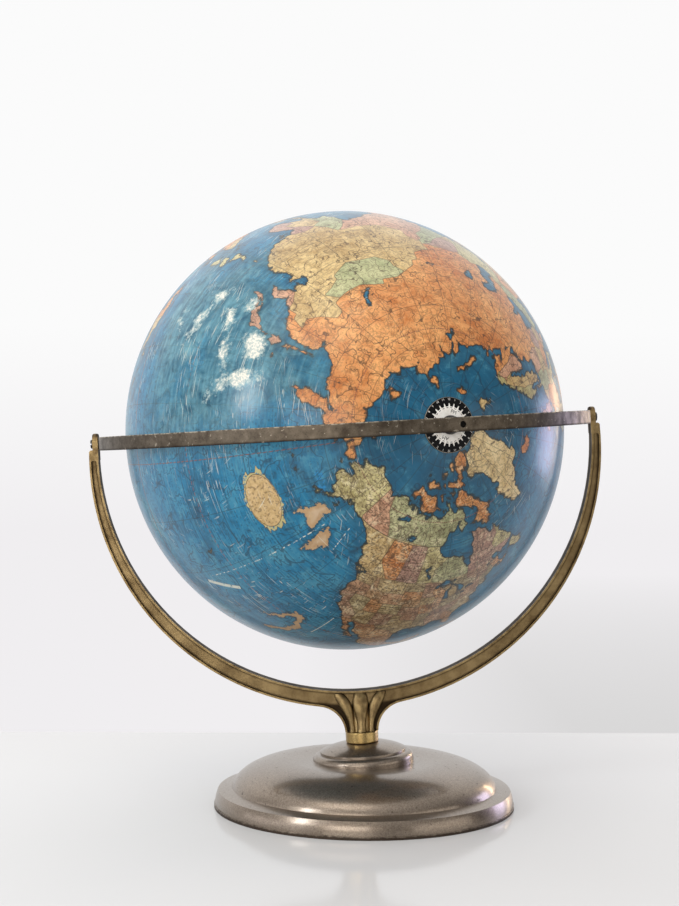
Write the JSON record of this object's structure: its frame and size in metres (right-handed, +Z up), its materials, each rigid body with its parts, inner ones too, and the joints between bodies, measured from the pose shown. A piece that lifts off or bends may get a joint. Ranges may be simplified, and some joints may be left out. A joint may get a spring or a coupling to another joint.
{
  "type": "desktop globe on stand",
  "caption": "Desk globe that spins on its poles in a full meridian ring, swung on side pivots in a crescent yoke above a stepped round metal base.",
  "frame": {"origin": "centre of the base's foot, on the surface the globe stands on", "axes": "+Z up, +X along the yoke's side pivots to the right seen from the front, -Y towards the front where the north pole points at rest"},
  "size_m": [0.36, 0.344, 0.4175],
  "materials": {
    "base_paint": "satin metallic lacquer over pressed steel",
    "antique_brass": "antiqued casting, dark in the channels",
    "bright_brass": "turned, lightly tarnished",
    "dull_brass": "browned strip with worn edges",
    "steel": "plain",
    "dark_steel": "blackened",
    "map_paper": "varnished printed paper over pressed board",
    "bare_board": "unprinted",
    "dowel": "unfinished turned wood",
    "dial_enamel": "black and white print"
  },
  "bodies": {
    "stand": {"base_shell": "base_paint", "cover_plate": "base_paint", "collar": "bright_brass", "yoke": "antique_brass", "stem_bolt": "steel", "stem_washer": "steel", "lock_washer": "steel", "left_pivot_screw": "dark_steel", "right_pivot_screw": "dark_steel", "left_pivot_washer": "bright_brass", "right_pivot_washer": "bright_brass"},
    "ring": {"meridian_ring": "dull_brass"},
    "ball": {"north_hemisphere": "map_paper", "south_hemisphere": "map_paper", "equator_hoop": "bare_board", "axis_rod": "dowel", "north_pole_block": "dowel", "south_pole_block": "dowel", "north_pivot_pin": "dark_steel", "south_pivot_pin": "dark_steel", "north_hub": "dark_steel", "south_hub": "dark_steel"},
    "dial": {"hour_dial": "dial_enamel"}
  },
  "joints": [
    {"name": "ring_swing", "type": "hinge", "parent": "stand", "child": "ring", "pos_m": [-0.01591, 0, 0.26396], "axis": [0.9979, 0, 0.0645], "continuous": true},
    {"name": "globe_spin", "type": "hinge", "parent": "ring", "child": "ball", "pos_m": [-0.01591, 0, 0.26396], "axis": [0.3979, -0.9171, 0.0257], "continuous": true},
    {"name": "dial_turn", "type": "hinge", "parent": "ball", "child": "dial", "pos_m": [-0.01591, 0, 0.26396], "axis": [0.3979, -0.9171, 0.0257], "continuous": true}
  ]
}
